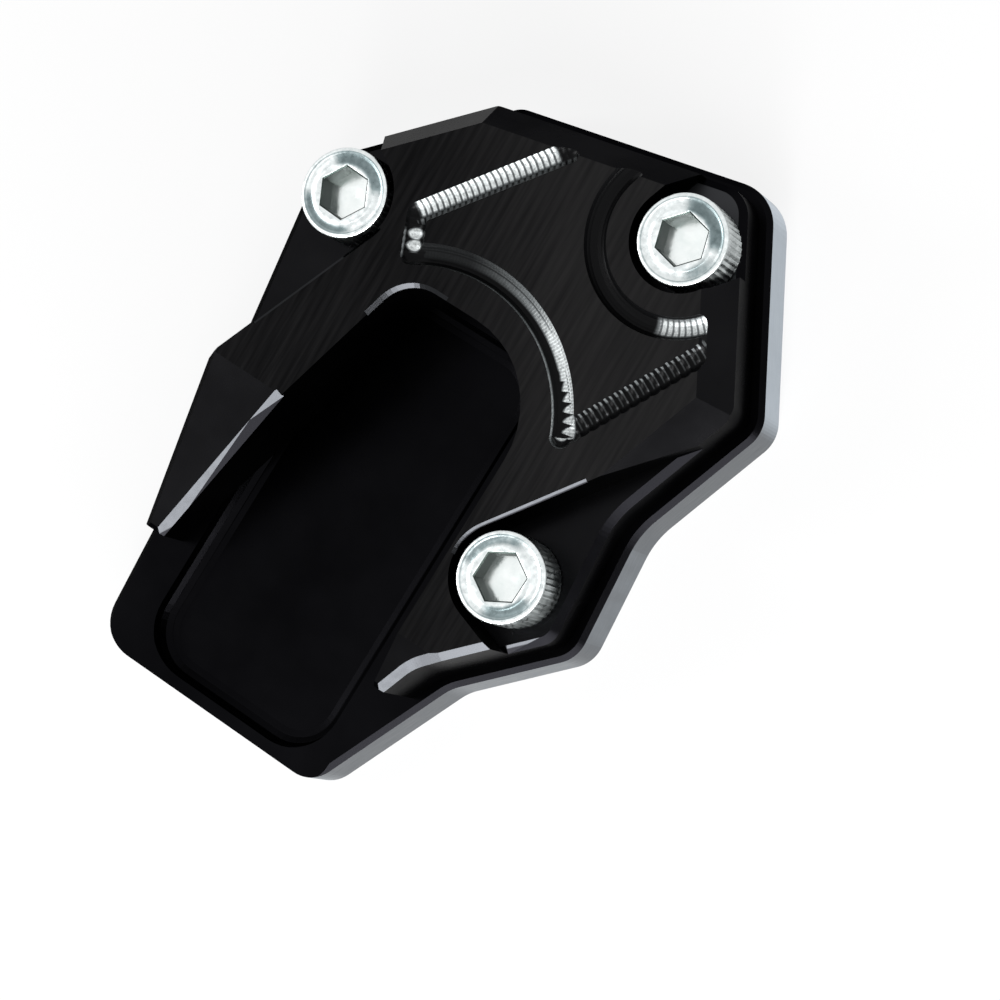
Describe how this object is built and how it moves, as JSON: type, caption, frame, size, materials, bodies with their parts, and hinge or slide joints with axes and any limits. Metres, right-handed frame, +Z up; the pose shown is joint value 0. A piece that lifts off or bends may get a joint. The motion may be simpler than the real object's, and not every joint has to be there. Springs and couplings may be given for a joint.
{
  "type": "kickstand foot enlarger",
  "caption": "Motorcycle side stand foot enlarger: wide aluminium foot plate with a pocket, a milled black horseshoe clamp plate and socket head cap screws.",
  "frame": {"origin": "middle of the part's box at ground level", "axes": "+Z up from the ground, +Y from the open tail towards the closed head of the clamp, +X to the right seen from above with the head ahead"},
  "size_m": [0.0586, 0.08, 0.018],
  "materials": {
    "black_anodised": "satin",
    "zinc_steel": "satin"
  },
  "bodies": {
    "root": {"base_plate": "black_anodised", "clamp_plate": "black_anodised", "clamp_screw_left": "zinc_steel", "clamp_screw_right": "zinc_steel", "clamp_screw_rear": "zinc_steel"}
  },
  "joints": []
}
